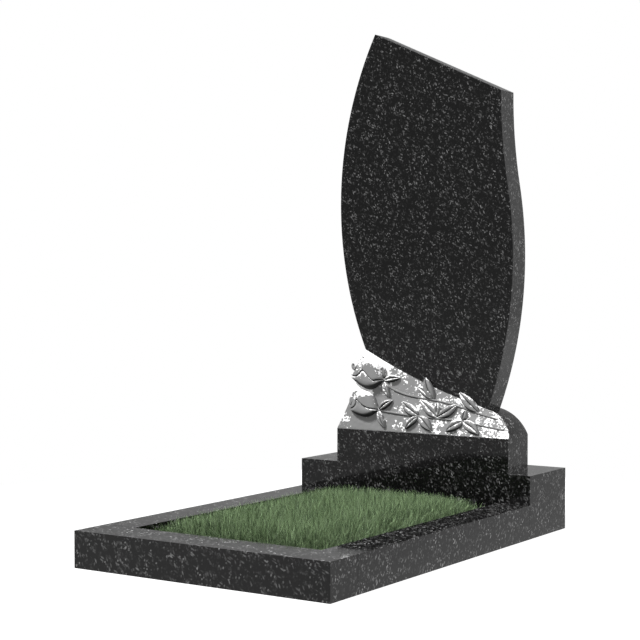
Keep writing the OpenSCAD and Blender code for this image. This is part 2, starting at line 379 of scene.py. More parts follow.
def fleck_mask(tree, place, grain):
    """How much feldspar shows at each point: short laths that lie every way, over soft grey clouds."""
    cloud = add(tree, "ShaderNodeTexNoise", {}, {
        "Vector": place, "Scale": per_mm(CLOUD_SIZE * grain), "Detail": 2.0})
    gathered = add(tree, "ShaderNodeMapRange", {}, {
        "Value": cloud.outputs["Fac"], **between(CLOUD_RANGE), "To Min": CLOUD_THINNEST, "To Max": 1.0})
    mottle = add(tree, "ShaderNodeTexNoise", {}, {
        "Vector": place, "Scale": per_mm(MOTTLE_SIZE * grain), "Detail": 2.5, "Roughness": 0.6})
    haze = add(tree, "ShaderNodeMapRange", {"interpolation_type": "SMOOTHSTEP"}, {
        "Value": mottle.outputs["Fac"], **between(HAZE_RANGE), "To Min": 0.0, "To Max": HAZE_MOST})
    brightest = haze.outputs[0]
    for turn in LATH_TURNS:
        lie = add(tree, "ShaderNodeMapping", {"vector_type": "TEXTURE"}, {
            "Vector": place, "Rotation": [radians(t) for t in turn], "Scale": LATH_STRETCH})
        laths = add(tree, "ShaderNodeTexVoronoi", {}, {
            "Vector": lie.outputs[0], "Scale": per_mm(LATH_SIZE * grain), "Randomness": 1.0})
        shape = add(tree, "ShaderNodeMapRange", {"interpolation_type": "SMOOTHSTEP"}, {
            "Value": laths.outputs["Distance"], **between(LATH_RANGE)})
        tint = add(tree, "ShaderNodeSeparateColor", {}, {0: laths.outputs["Color"]})
        some = add(tree, "ShaderNodeMapRange", {}, {
            "Value": tint.outputs[0], **between(LATH_TINT_RANGE)})
        lath = add(tree, "ShaderNodeMath", {"operation": "MULTIPLY"}, {
            0: shape.outputs[0], 1: some.outputs[0]})
        brightest = add(tree, "ShaderNodeMath", {"operation": "MAXIMUM"}, {
            0: brightest, 1: lath.outputs[0]}).outputs[0]
    return add(tree, "ShaderNodeMath", {"operation": "MULTIPLY", "use_clamp": True}, {
        0: brightest, 1: gathered.outputs[0]}).outputs[0]


def polished_gabbro(name, colours, grain):
    """Gabbro, sold as black granite, sawn and mirror polished: nearly black, with soft grey feldspar
    laths a few millimetres long under a reflection as sharp as glass. The laths are painted dimmer on the
    front and back than on the sides and tops, as painted shade for how the light falls. grain scales the
    laths."""
    material, tree, shader = new_material(name)
    place = add(tree, "ShaderNodeTexCoord").outputs["Object"]
    mask = fleck_mask(tree, place, grain)
    geometry = add(tree, "ShaderNodeNewGeometry")
    normal = add(tree, "ShaderNodeSeparateXYZ", {}, {0: geometry.outputs["Normal"]})
    # Flecks are painted dimmer on faces that look front or back and full on the sides and tops: painted
    # shade for how the light falls.
    along = add(tree, "ShaderNodeMath", {"operation": "ABSOLUTE"}, {0: normal.outputs["Y"]})
    across = add(tree, "ShaderNodeMapRange", {}, {
        "Value": along.outputs[0], "From Min": 1.0, "From Max": 0.0,
        "To Min": colours.front_fleck_shade, "To Max": 1.0})
    shown = add(tree, "ShaderNodeMath", {"operation": "MULTIPLY"}, {0: mask, 1: across.outputs[0]})
    tone = add(tree, "ShaderNodeMix", {"data_type": "RGBA"}, {
        0: shown.outputs[0], 6: tuple(colours.ground), 7: tuple(colours.fleck)})
    tree.links.new(tone.outputs[2], shader.inputs["Base Color"])
    worn = add(tree, "ShaderNodeMapRange", {}, {
        "Value": mask, "To Min": colours.polish, "To Max": colours.polish + FLECK_ROUGHER})
    tree.links.new(worn.outputs[0], shader.inputs["Roughness"])
    shader.inputs["IOR"].default_value = POLISH_IOR
    return material


def cut_gabbro(name, colours):
    """The same gabbro, hand cut with a point and left matt: crushed crystals scatter the light, so it
    shows light grey, with bright patches where the tool has struck hardest, partly bruising and partly
    painted highlight, and more of them on the faces that look up, as painted highlight. Faces that look
    down are painted nearly black: painted shade, over the dark uncrushed stone of the undercuts."""
    material, tree, shader = new_material(name)
    place = add(tree, "ShaderNodeTexCoord").outputs["Object"]
    patches = add(tree, "ShaderNodeTexNoise", {}, {
        "Vector": place, "Scale": per_mm(BRIGHT_PATCH_SIZE), "Detail": 3.0, "Roughness": 0.6, "Distortion": 0.3})
    specks = add(tree, "ShaderNodeTexNoise", {}, {
        "Vector": place, "Scale": per_mm(BRIGHT_SPECK_SIZE), "Detail": 2.0})
    struck_and_lit = add(tree, "ShaderNodeMix", {"data_type": "FLOAT"}, {
        0: BRIGHT_SPECK_SHARE, 2: patches.outputs["Fac"], 3: specks.outputs["Fac"]})
    geometry = add(tree, "ShaderNodeNewGeometry")
    normal = add(tree, "ShaderNodeSeparateXYZ", {}, {0: geometry.outputs["Normal"]})
    # Faces that look up get more of the bright colour: a painted highlight.
    upward = add(tree, "ShaderNodeMath", {"operation": "MULTIPLY_ADD"}, {
        0: normal.outputs["Z"], 1: UPWARD_HIGHLIGHT, 2: struck_and_lit.outputs[0]})
    # The hardest-struck places, bright partly from bruising and partly as painted highlight.
    marked = add(tree, "ShaderNodeAttribute", {"attribute_name": "struck_and_lit"})
    bruised_and_lit = add(tree, "ShaderNodeMath", {"operation": "ADD"}, {
        0: upward.outputs[0], 1: marked.outputs["Fac"]})
    bright = add(tree, "ShaderNodeMapRange", {"interpolation_type": "SMOOTHSTEP"}, {
        "Value": bruised_and_lit.outputs[0], **between(BRUISE_AND_HIGHLIGHT_RANGE)})
    # Painted shade: faces that look down turn near-black, for their shadow and for the dark uncrushed stone
    # of the undercuts.
    down_shade = add(tree, "ShaderNodeMapRange", {"interpolation_type": "SMOOTHSTEP"}, {
        "Value": normal.outputs["Z"], **between(DOWN_SHADE_RANGE)})
    matt = add(tree, "ShaderNodeMix", {"data_type": "RGBA"}, {
        0: bright.outputs[0], 6: tuple(colours.cut), 7: tuple(colours.bruised_and_lit)})
    tone = add(tree, "ShaderNodeMix", {"data_type": "RGBA"}, {
        0: down_shade.outputs[0], 6: matt.outputs[2], 7: tuple(colours.shaded_undercut)})
    tree.links.new(tone.outputs[2], shader.inputs["Base Color"])
    shader.inputs["Roughness"].default_value = 0.78
    grit = add(tree, "ShaderNodeTexNoise", {}, {
        "Vector": place, "Scale": per_mm(GRIT_SIZE), "Detail": 2.0})
    bump = add(tree, "ShaderNodeBump", {}, {
        "Height": grit.outputs["Fac"], "Strength": 0.25, "Distance": 0.4 * MM})
    tree.links.new(bump.outputs[0], shader.inputs["Normal"])
    return material


def grass_blade(name, colours):
    """Short lawn grass: a soft leaf with a faint sheen, darker at its foot, each blade its own green."""
    material, tree, shader = new_material(name)
    tone = add(tree, "ShaderNodeAttribute", {"attribute_name": "tone"})
    rise = add(tree, "ShaderNodeAttribute", {"attribute_name": "rise"})
    green = add(tree, "ShaderNodeMix", {"data_type": "RGBA"}, {
        0: tone.outputs["Fac"], 6: tuple(colours.dull), 7: tuple(colours.fresh)})
    shade = add(tree, "ShaderNodeMapRange", {}, {
        "Value": rise.outputs["Fac"], **between(BLADE_SHADE_RANGE)})
    whole = add(tree, "ShaderNodeMix", {"data_type": "RGBA"}, {
        0: shade.outputs[0], 6: tuple(colours.root), 7: green.outputs[2]})
    tree.links.new(whole.outputs[2], shader.inputs["Base Color"])
    shader.inputs["Roughness"].default_value = 0.6
    return material


def damp_soil(name, colours):
    """Damp garden soil: dark, crumbly and matt."""
    material, tree, shader = new_material(name)
    place = add(tree, "ShaderNodeTexCoord").outputs["Object"]
    crumbs = add(tree, "ShaderNodeTexNoise", {}, {
        "Vector": place, "Scale": per_mm(CRUMB_SIZE), "Detail": 4.0})
    tone = add(tree, "ShaderNodeMix", {"data_type": "RGBA"}, {
        0: crumbs.outputs["Fac"], 6: tuple(colours.wet_soil), 7: tuple(colours.soil)})
    tree.links.new(tone.outputs[2], shader.inputs["Base Color"])
    shader.inputs["Roughness"].default_value = 0.9
    bump = add(tree, "ShaderNodeBump", {}, {
        "Height": crumbs.outputs["Fac"], "Strength": 0.6, "Distance": 3 * MM})
    tree.links.new(bump.outputs[0], shader.inputs["Normal"])
    return material


# ---- operators, one for each piece or group of like pieces ----

# How much coarser than LATH_SIZE each block's grain is.
HEADSTONE_GRAIN = 1.12
PLINTH_GRAIN = 1.25
KERB_GRAIN = 1.4


class MEMORIAL_OT_base_stones(bpy.types.Operator):
    """Polishes the plinth and the three kerbs"""
    bl_idname = "memorial.base_stones"
    bl_label = "Plinth and kerbs"

    def execute(self, context):
        colours = context.scene.memorial_stone
        plinth = polished_gabbro("polished_gabbro_plinth", colours, PLINTH_GRAIN)
        kerbs = polished_gabbro("polished_gabbro_kerbs", colours, KERB_GRAIN)
        for node in ("plinth", "kerb_left", "kerb_right", "kerb_front"):
            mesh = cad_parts[node].data
            for slot in range(len(mesh.materials)):
                mesh.materials[slot] = plinth if node == "plinth" else kerbs
        return {"FINISHED"}


class MEMORIAL_OT_headstone(bpy.types.Operator):
    """Makes the polished headstone: the upright slab and its foot"""
    bl_idname = "memorial.headstone"
    bl_label = "Headstone"

    def execute(self, context):
        sizes = context.scene.memorial_headstone
        panel = Panel(sizes)
        slab = outline_slab("headstone_polished", sizes.foot_depth)
        combine(slab, front_waste(panel), "DIFFERENCE")
        bevel = slab.modifiers.new("arris", "BEVEL")
        bevel.width = sizes.arris
        bevel.segments = 2
        bevel.limit_method = "ANGLE"
        bevel.angle_limit = radians(50)
        settle(slab)
        slab.data.materials.clear()
        colours = context.scene.memorial_stone
        slab.data.materials.append(polished_gabbro("polished_gabbro_headstone", colours, HEADSTONE_GRAIN))
        slab.data.set_sharp_from_angle(angle=radians(20))
        # Faces to the front and back stay flat, and the edges shade round.
        for face in slab.data.polygons:
            face.use_smooth = abs(face.normal.y) < 0.5
        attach(slab, "root")
        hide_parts("headstone")
        return {"FINISHED"}


class MEMORIAL_OT_carving(bpy.types.Operator):
    """Makes the hand-cut panel with its stems, leaves and two roses"""
    bl_idname = "memorial.carving"
    bl_label = "Carving"

    def execute(self, context):
        stone = cut_gabbro("cut_gabbro", context.scene.memorial_stone)
        panel = Panel(context.scene.memorial_headstone)
        sizes = context.scene.memorial_carving
        # Each piece, how bright it is painted all over, partly as bruising and partly as painted highlight,
        # and how much of the hardest-struck places it takes.
        made = [
            (cut_face(panel, sizes, stone), 0, 1),
            (carved_stems(panel, sizes, stone), -0.14, 0.4),
            (carved_leaves(panel, sizes, stone), -0.03, 0.4),
            (carved_rose("rose_upper", panel, UPPER_ROSE, stone), -0.01, 0.35),
            (carved_rose("rose_lower", panel, LOWER_ROSE, stone), -0.04, 0.5),
        ]
        for piece, ground, share_struck_and_lit in made:
            mark_struck_and_lit(piece, panel, ground, share_struck_and_lit)
            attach(piece, "root")
        return {"FINISHED"}


# The panel's hardest-struck places, painted bright partly as bruising and partly as painted highlight:
# across and up as shares, reach across as a share, and strength. Each reaches as far up as across times the
# factor below, both as shares.
STRUCK_AND_LIT_PLACES = [
    (0.19, 1.0, 0.08, 0.35), (0.1, 0.95, 0.06, 0.35), (0.14, 0.52, 0.07, 0.28), (0.03, 0.1, 0.05, 0.12),
    (0.3, 0.95, 0.05, 0.08), (0.42, 0.82, 0.08, 0.09), (0.5, 0.95, 0.04, 0.08), (0.66, 0.88, 0.05, 0.06),
    (0.73, 0.5, 0.04, 0.12), (0.93, 0.4, 0.04, 0.05), (0.94, 0.1, 0.04, 0.02),
    (0.36, 0.1, 0.03, 0.1), (0.6, 0.05, 0.03, 0.08), (0.38, 0.42, 0.03, 0.07),
]
STRUCK_AND_LIT_TALLER = 2.2

# Places on the panel are shares: across the foot's width, and from the band up to the border.
UPPER_STEM = [
    (0.253, 0.75), (0.287, 0.69), (0.37, 0.66), (0.46, 0.69), (0.57, 0.76), (0.68, 0.8), (0.79, 0.78),
    (0.91, 0.76)]
LOWER_STEM = [
    (0.242, 0.3), (0.29, 0.3), (0.43, 0.32), (0.585, 0.37), (0.73, 0.42), (0.83, 0.41), (0.96, 0.37)]

# Each leaf's base and point, and its sideways bow in millimetres.
SMALL_LEAVES = [
    ((0.255, 0.74), (0.345, 0.89), 1.5),
    ((0.253, 0.72), (0.3, 0.52), -1.5),
    ((0.253, 0.77), (0.238, 0.95), 1.0),
    ((0.244, 0.3), (0.32, 0.5), 1.5),
    ((0.242, 0.29), (0.294, 0.05), -1.5),
    ((0.543, 0.75), (0.446, 0.88), -1.5),
    ((0.478, 0.33), (0.413, 0.05), -2.0),
    ((0.585, 0.39), (0.574, 0.72), 0.0),
    ((0.731, 0.44), (0.735, 0.75), 0.0),
]
LARGE_LEAVES = [
    ((0.547, 0.75), (0.49, 1.13), 3.0),
    ((0.803, 0.81), (0.686, 1.18), 1.5),
    ((0.48, 0.34), (0.372, 0.52), 1.5),
    ((0.48, 0.33), (0.565, 0.07), 2.0),
    ((0.59, 0.38), (0.478, 0.66), 0.5),
    ((0.587, 0.39), (0.684, 0.83), -2.0),
    ((0.731, 0.42), (0.65, 0.08), -2.0),
    ((0.731, 0.42), (0.836, 0.08), 2.0),
]

# A rose's calyx on the panel, the turn of its axis from the foot's length in degrees, the rise of its
# round body, the body's outline, and its petals from the back to the front. A petal is its lift, its
# bulge, how far in from its edge it bulges, and its outline. Outline points are (along the axis, down the
# slope). All but the calyx and the turn are in millimetres.
UPPER_ROSE = {
    "calyx": (0.253, 0.75), "angle": 157, "rise": 12.5,
    "body": [
        (0, 2), (4, 15), (12, 28), (24, 36), (40, 38), (56, 36), (70, 32), (78, 22),
        (80, 8), (78, -8), (74, -20), (60, -28), (42, -31), (26, -25), (10, -11)],
    "petals": [
        (1.0, 3.5, 5, [
            (94, -1), (95, 5), (91, 11), (84, 14), (76, 12), (74, 4), (78, -4), (81, 0), (85, 4), (90, 3)]),
        (0.5, 4.0, 6, [
            (85, -17), (76, -15), (64, -9), (54, -3), (54, 13), (62, 23), (74, 28), (85, 25),
            (80, 20), (75, 13), (74, 5), (76, -3), (81, -10)]),
        (1.5, 4.0, 10, [
            (0, 0), (12, -13), (23, -23), (35, -30), (50, -33), (64, -32), (80, -27), (71, -18),
            (64, -10), (56, 0), (48, 8), (34, 14), (18, 16), (6, 8)]),
        (2.0, 4.5, 10, [
            (0, 3), (3, 14), (10, 27), (20, 36), (35, 39), (50, 38), (66, 35), (80, 31), (72, 26),
            (63, 23), (57, 15), (53, 4), (36, 9), (18, 14), (8, 8)]),
    ],
}
LOWER_ROSE = {
    "calyx": (0.242, 0.3), "angle": 161, "rise": 9.5,
    "body": [
        (0, 2), (5, 11), (12, 20), (24, 28), (40, 31), (56, 31), (66, 28), (72, 18),
        (74, 4), (72, -10), (66, -22), (54, -28), (38, -30), (24, -25), (10, -13)],
    "petals": [
        (1.0, 3.0, 5, [(83, -2), (84, 6), (80, 14), (74, 18), (68, 14), (68, 2), (76, -4)]),
        (0.5, 3.5, 6, [
            (79, -10), (71, -8), (60, -3), (54, 6), (56, 18), (64, 24), (74, 22), (71, 16), (70, 8),
            (72, 0)]),
        (1.5, 3.5, 9, [
            (0, 0), (12, -16), (27, -27), (42, -31), (56, -30), (68, -26), (80, -18), (72, -13),
            (66, -7), (60, 0), (46, 6), (34, 9), (16, 9), (6, 5)]),
        (2.0, 4.0, 9, [
            (0, 2), (6, 11), (12, 20), (24, 28), (40, 31), (56, 31), (69, 28), (65, 24), (58, 17),
            (56, 7), (59, 0), (44, 5), (24, 7), (10, 4)]),
    ],
}


def smoothstep(value):
    """A soft ramp from 0 to 1."""
    value = min(max(value, 0.0), 1.0)
    return value * value * (3 - 2 * value)


def cut_face(panel, sizes, stone):
    """The panel's background, a thin plate that lies on the slope and carries shallow tool marks."""
    proud = 0.4 * MM
    depth = 4 * MM
    margin = 20 * MM
    past_border = 12 * MM
    calm = 6 * MM  # the marks fade out over this distance from the panel's borders
    pick = 9 * MM  # size of a tool mark, with smaller ones in it
    finer = 2.3
    trimmed = 0.3 * MM

    def place(u, v):
        x = panel.x0 - margin + u * (panel.x1 - panel.x0 + 2 * margin)
        top = panel.border_z(x)
        z = panel.band_z + v * (top + past_border - panel.band_z)
        y = panel.foot_y + (panel.blade_y - panel.foot_y) * (z - panel.band_z) / (top - panel.band_z)
        spot = Vector((x, y, z))
        edge = smoothstep(min(z - panel.band_z, top - z) / calm)
        mark = noise.noise(spot / pick) + 0.5 * noise.noise(spot * finer / pick)
        return spot + panel.out(x) * (proud + sizes.face_relief * edge * (0.5 + mark))

    bm = bmesh.new()
    sheet(bm, 230, 80, place)
    made = bmesh.ops.extrude_face_region(bm, geom=bm.faces[:])
    moved = [v for v in made["geom"] if isinstance(v, bmesh.types.BMVert)]
    bmesh.ops.translate(bm, verts=moved, vec=(0, depth, 0))
    bmesh.ops.recalc_face_normals(bm, faces=bm.faces[:])
    plate = piece_from("carved_panel", bm, stone)
    combine(plate, outline_slab("trim", panel.sizes.foot_depth, inset=trimmed), "INTERSECT")
    plate.data.materials.clear()
    plate.data.materials.append(stone)
    return plate


def carved_stems(panel, sizes, stone):
    """Two long stems, part sunk in the panel, that thin towards their right ends."""
    proud = 0.35  # of the radius, the height of a stem's middle over the panel
    thick = 1.1
    thinner = 0.25
    route = bpy.data.curves.new("stems", "CURVE")
    route.dimensions = "3D"
    route.bevel_depth = sizes.stem_radius
    route.bevel_resolution = 3
    route.resolution_u = 10
    route.use_fill_caps = True
    for shares in (UPPER_STEM, LOWER_STEM):
        spline = route.splines.new("BEZIER")
        spline.bezier_points.add(len(shares) - 1)
        for i, (across, up) in enumerate(shares):
            knot = spline.bezier_points[i]
            knot.co = panel.spot(across, up, sizes.stem_radius * proud)
            knot.handle_left_type = "AUTO"
            knot.handle_right_type = "AUTO"
            knot.radius = thick - thinner * i / len(shares)
    holder = bpy.data.objects.new("stems", route)
    bpy.context.scene.collection.objects.link(holder)
    shown = holder.evaluated_get(bpy.context.evaluated_depsgraph_get())
    bm = bmesh.new()
    bm.from_mesh(shown.to_mesh())
    bpy.data.objects.remove(holder)
    bmesh.ops.remove_doubles(bm, verts=bm.verts, dist=SAME_POINT)
    bmesh.ops.recalc_face_normals(bm, faces=bm.faces[:])
    return piece_from("carved_stems", bm, stone, smooth=radians(50))


def carved_leaves(panel, sizes, stone):
    """The sepals and the leaves, each with two swelling halves and a groove between them."""
    bm = bmesh.new()
    for base, point, bow in SMALL_LEAVES:
        leaf(bm, panel, sizes, base, point, sizes.small_leaf_width, bow * MM)
    for base, point, bow in LARGE_LEAVES:
        leaf(bm, panel, sizes, base, point, sizes.leaf_width, bow * MM)
    bmesh.ops.recalc_face_normals(bm, faces=bm.faces[:])
    return piece_from("carved_leaves", bm, stone, smooth=radians(55))


def leaf(bm, panel, sizes, base, point, width, bow):
    """Adds a pointed leaf to bm, from its base to its point, that runs down into the stone."""
    point_lift = 1 * MM
    sink = 5 * MM
    blunt = 0.015  # share of the length left off at each end
    lean_to_base = 0.85  # below 1, the leaf is widest nearer its base
    fullness = 0.75
    ridge_fullness = 0.4
    groove = 0.22  # height of the groove and the edges, as a share of the halves' height
    start = panel.spot(*base)
    end = panel.spot(*point, point_lift)
    way = end - start
    out = panel.out(start.x)
    side = out.cross(way).normalized()

    def place(u, v):
        along = blunt + (1 - 2 * blunt) * u
        turned = pi * abs(2 * v - 1)
        across = (1 - cos(turned)) / 2 * (1 if v > 0.5 else -1)
        half = width / 2 * sin(pi * along ** lean_to_base) ** fullness
        up = sizes.leaf_rise * sin(pi * along) ** ridge_fullness * (groove + (1 - groove) * sin(turned))
        return start + way * along + side * (half * across + bow * sin(pi * along)) + out * up

    made = sheet(bm, 28, 16, place)
    faces = {f for v in made for f in v.link_faces}
    skirt = bmesh.ops.extrude_face_region(bm, geom=list(faces))
    lowered = [v for v in skirt["geom"] if isinstance(v, bmesh.types.BMVert)]
    bmesh.ops.translate(bm, verts=lowered, vec=-out * sink)


def smooth_loop(points, steps=5):
    """A smooth closed line through the given points."""
    here = np.array(points, dtype=float)
    before, after, beyond = (np.roll(here, shift, axis=0) for shift in (1, -1, -2))
    line = []
    for t in np.arange(steps) / steps:
        line.append(
            here + 0.5 * t * (after - before + t * (
                2 * before - 5 * here + 4 * after - beyond + t * (3 * (here - after) + beyond - before))))
    return np.stack(line, axis=1).reshape(-1, 2)


def depth_inside(spots, loop):
    """How far inside a closed line each spot lies, negative outside it."""
    ends = np.roll(loop, -1, axis=0)
    edge = ends - loop
    offset = spots[:, None] - loop
    share_along = np.clip((offset * edge).sum(axis=2) / (edge ** 2).sum(axis=1), 0, 1)
    distance = np.linalg.norm(offset - share_along[..., None] * edge, axis=2).min(axis=1)
    level = spots[:, None, 1]
    straddles = (loop[:, 1] > level) != (ends[:, 1] > level)
    run = edge[:, 0] / np.where(edge[:, 1] == 0, 1e-9, edge[:, 1])
    crossings = straddles & (offset[..., 0] < offset[..., 1] * run)
    return np.where(crossings.sum(axis=1) % 2 == 1, distance, -distance)


def rounded(depth, reach):
    """A quarter-round rise from 0 at an edge to 1 at reach inside it."""
    return np.sqrt(1 - (1 - np.clip(depth / reach, 0, 1)) ** 2)


def rose_relief(rose, spots):
    """How high a rose stands at each spot, and how far inside its outline the spot lies. A petal lies
    over the ones before it and presses a crease into them along its edge."""
    crease_width = 3.2
    crease_depth = 5.0
    crease_curve = 1.5
    body_reach = 17
    lowest = 0.8
    body = depth_inside(spots, smooth_loop(rose["body"]))
    inside = body.copy()
    heights = np.zeros(len(spots))
    for lift, bulge, reach, outline in rose["petals"]:
        depth = depth_inside(spots, smooth_loop(outline))
        inside = np.maximum(inside, depth)
        crease = crease_depth * np.clip(1 + depth / crease_width, 0, 1) ** crease_curve
        heights = np.where(depth > 0, lift + bulge * rounded(depth, reach), heights - crease)
    return np.maximum(heights + rose["rise"] * rounded(body, body_reach), lowest), inside


def tidy_rim(bm):
    """Leaves a sheet one clean rim: no point where the rim meets itself, no loose points, no steps."""
    def pinched():
        return [v for v in bm.verts if sum(e.is_boundary for e in v.link_edges) != 2 and v.is_boundary]

    while bad := pinched():
        bmesh.ops.delete(bm, geom=bad, context="VERTS")
    bmesh.ops.delete(bm, geom=[v for v in bm.verts if not v.link_faces], context="VERTS")
    for _ in range(3):
        rim = [v for v in bm.verts if v.is_boundary]
        bmesh.ops.smooth_vert(
            bm, verts=rim, factor=0.5, use_axis_x=True, use_axis_y=True, use_axis_z=False)


def carved_rose(name, panel, rose, stone):
    """A rose seen from its side: a round body, with petals that overlap from its open end to the front.
    It is shaped flat, in millimetres from its calyx, and then laid on the panel."""
    sink = 5.0
    columns, rows = 160, 124
    left, low = -8, -38  # the sheet that the rose is cut from, a little larger than its outline
    width, height = 108, 84
    bm = bmesh.new()
    points = sheet(bm, columns, rows, lambda u, v: Vector((left + width * u, low + height * v, 0)))
    rises, inside = rose_relief(rose, np.array([v.co.xy[:] for v in points]))
    for v, rise in zip(points, rises):
        v.co.z = rise
    bmesh.ops.delete(bm, geom=[v for v, depth in zip(points, inside) if depth < 0], context="VERTS")
    tidy_rim(bm)
    under = bmesh.ops.extrude_face_region(bm, geom=bm.faces[:])
    for v in under["geom"]:
        if isinstance(v, bmesh.types.BMVert):
            v.co.z = -sink
    calyx = panel.spot(*rose["calyx"])
    out = panel.out(calyx.x)
    turn = radians(rose["angle"])
    axis = Vector((cos(turn), 0, 0)) + out.cross(Vector((1, 0, 0))) * sin(turn)
    side = out.cross(axis)
    for v in bm.verts:
        spot = calyx + (axis * v.co.x + side * v.co.y) * MM
        v.co = panel.point(spot.x, spot.z, v.co.z * MM)
    bmesh.ops.recalc_face_normals(bm, faces=bm.faces[:])
    return piece_from(name, bm, stone, smooth=radians(60))


def mark_struck_and_lit(piece, panel, ground, share_struck_and_lit):
    """Marks how hard each point of a piece was struck and how bright it is painted, partly as bruising and
    partly as painted highlight: ground, and more near the hardest-struck places.
    """
    values = []
    for v in piece.data.vertices:
        across = (v.co.x - panel.x0) / (panel.x1 - panel.x0)
        up = (v.co.z - panel.band_z) / (panel.border_z(v.co.x) - panel.band_z)
        # Brighter near the listed places: partly bruising, partly painted highlight.
        marked = sum(
            strength * exp(-((across - x) / reach) ** 2 - ((up - z) / (reach * STRUCK_AND_LIT_TALLER)) ** 2)
            for x, z, reach, strength in STRUCK_AND_LIT_PLACES)
        values.append(ground + share_struck_and_lit * marked)
    piece.data.attributes.new("struck_and_lit", "FLOAT", "POINT").data.foreach_set("value", values)


class MEMORIAL_OT_bed(bpy.types.Operator):
    """Fills the bed with soil and grass"""
    bl_idname = "memorial.bed"
    bl_label = "Soil and grass"

    def execute(self, context):
        sizes = context.scene.memorial_grass
        soil = soil_bed(sizes)
        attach(soil, "root")
        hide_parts("turf")
        lawn = grass_blade("lawn_grass", sizes)
        for patch in range(sizes.patches):
            grass = grass_patch(patch, sizes, lawn)
            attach(grass, "root")
        return {"FINISHED"}


def swell(x, y):
    """How far the bed has swelled at x and y: 0 along its edges and 1 over its middle."""
    edge = 0.45  # the slope's width, as a share of half the bed's width
    low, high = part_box("turf")
    half = (high - low) / 2
    across = 1 - abs(x - (low.x + half.x)) / half.x
    along = 1 - np.abs(y - (low.y + half.y)) / half.y
    near_side = 1 - np.clip(across / edge, 0, 1)
    near_end = 1 - np.clip(along * half.y / half.x / edge, 0, 1)
    return (1 - near_side ** 2) * (1 - near_end ** 2)


def soil_bed(sizes):
    """The bed's soil, a crumbly mound that lies below the grass and fills the space between the stones."""
    low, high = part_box("turf")
    kerb_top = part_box("kerb_front")[1].z
    depth = 46 * MM
    rise = 20 * MM
    crumb = 1.5 * MM
    rng = np.random.default_rng(7)

    def place(u, v):
        x = low.x + u * (high.x - low.x)
        y = low.y + v * (high.y - low.y)
        z = kerb_top - depth + rise * float(swell(x, y)) + rng.uniform(-1, 1) * crumb
        return Vector((x, y, z))

    bm = bmesh.new()
    sheet(bm, 60, 90, place)
    made = bmesh.ops.extrude_face_region(bm, geom=bm.faces[:])
    for v in made["geom"]:
        if isinstance(v, bmesh.types.BMVert):
            v.co.z = low.z
    bmesh.ops.recalc_face_normals(bm, faces=bm.faces[:])
    return piece_from("soil", bm, damp_soil("damp_soil", sizes), smooth=radians(60))


def blade_shape():
    """A flat three-sided blade, one unit wide and tall, with two bends: its points and its faces."""
    flatness = 0.45
    bends = (0.35, 0.7)
    bm = bmesh.new()
    bmesh.ops.create_cone(bm, cap_ends=True, segments=3, radius1=0.5, radius2=0.0, depth=1.0)
    bmesh.ops.remove_doubles(bm, verts=bm.verts, dist=0.001)
    bmesh.ops.translate(bm, verts=bm.verts[:], vec=(0, 0, 0.5))
    bmesh.ops.scale(bm, verts=bm.verts[:], vec=(1, flatness, 1))
    for level in bends:
        whole = bm.verts[:] + bm.edges[:] + bm.faces[:]
        bmesh.ops.bisect_plane(bm, geom=whole, plane_co=(0, 0, level), plane_no=(0, 0, 1))
    blade = bpy.data.meshes.new("blade")
    bm.to_mesh(blade)
    bm.free()
    points = np.array([v.co for v in blade.vertices])
    faces = [list(f.vertices) for f in blade.polygons]
    bpy.data.meshes.remove(blade)
    return points, faces


